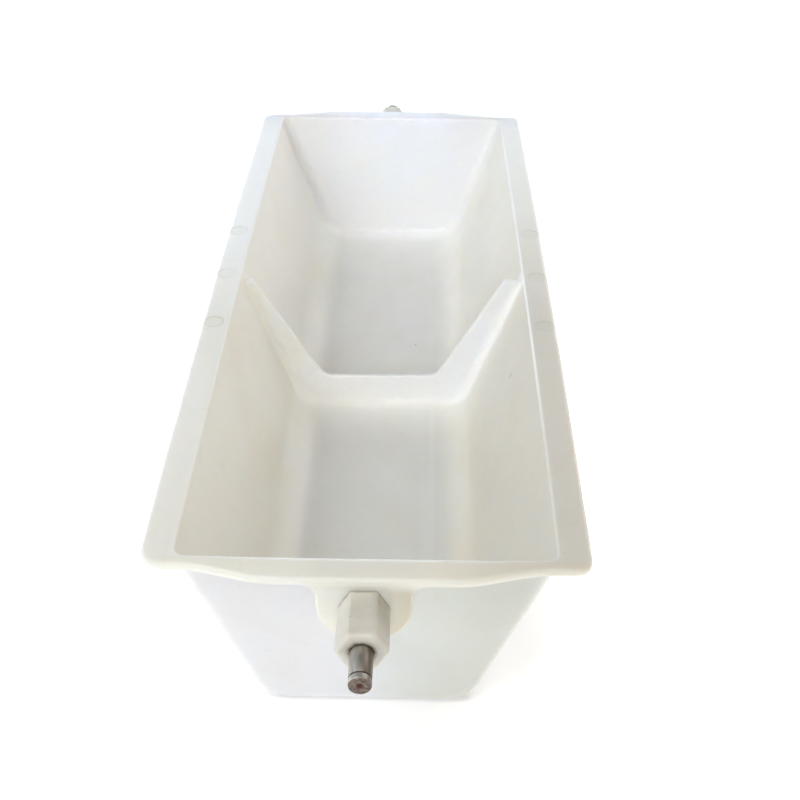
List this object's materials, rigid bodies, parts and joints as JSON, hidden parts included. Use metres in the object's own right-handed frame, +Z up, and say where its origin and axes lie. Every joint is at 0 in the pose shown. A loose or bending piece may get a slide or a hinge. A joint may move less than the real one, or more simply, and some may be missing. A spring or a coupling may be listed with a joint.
{
  "type": "tipping water trough",
  "caption": "Long tapered plastic trough with a low notched divider, hung at each end on a steel pin in a hexagonal sleeve.",
  "frame": {"origin": "under the middle of the tub, on the plane that its floor rests on", "axes": "+Z up, +Y along the trough from the front pivot to the rear pivot, +X to the right seen from the front"},
  "size_m": [0.3, 0.927, 0.146],
  "materials": {
    "milky_plastic": "natural uncoloured polyethylene, milky and slightly translucent, satin",
    "cream_plastic": "natural uncoloured plastic, thick and so more cream, satin",
    "pin_steel": "turned steel with a light brown tarnish"
  },
  "bodies": {
    "root": {"tub": "milky_plastic", "front_hex_sleeve": "cream_plastic", "rear_hex_sleeve": "cream_plastic", "front_pivot_pin": "pin_steel", "rear_pivot_pin": "pin_steel"}
  },
  "joints": []
}
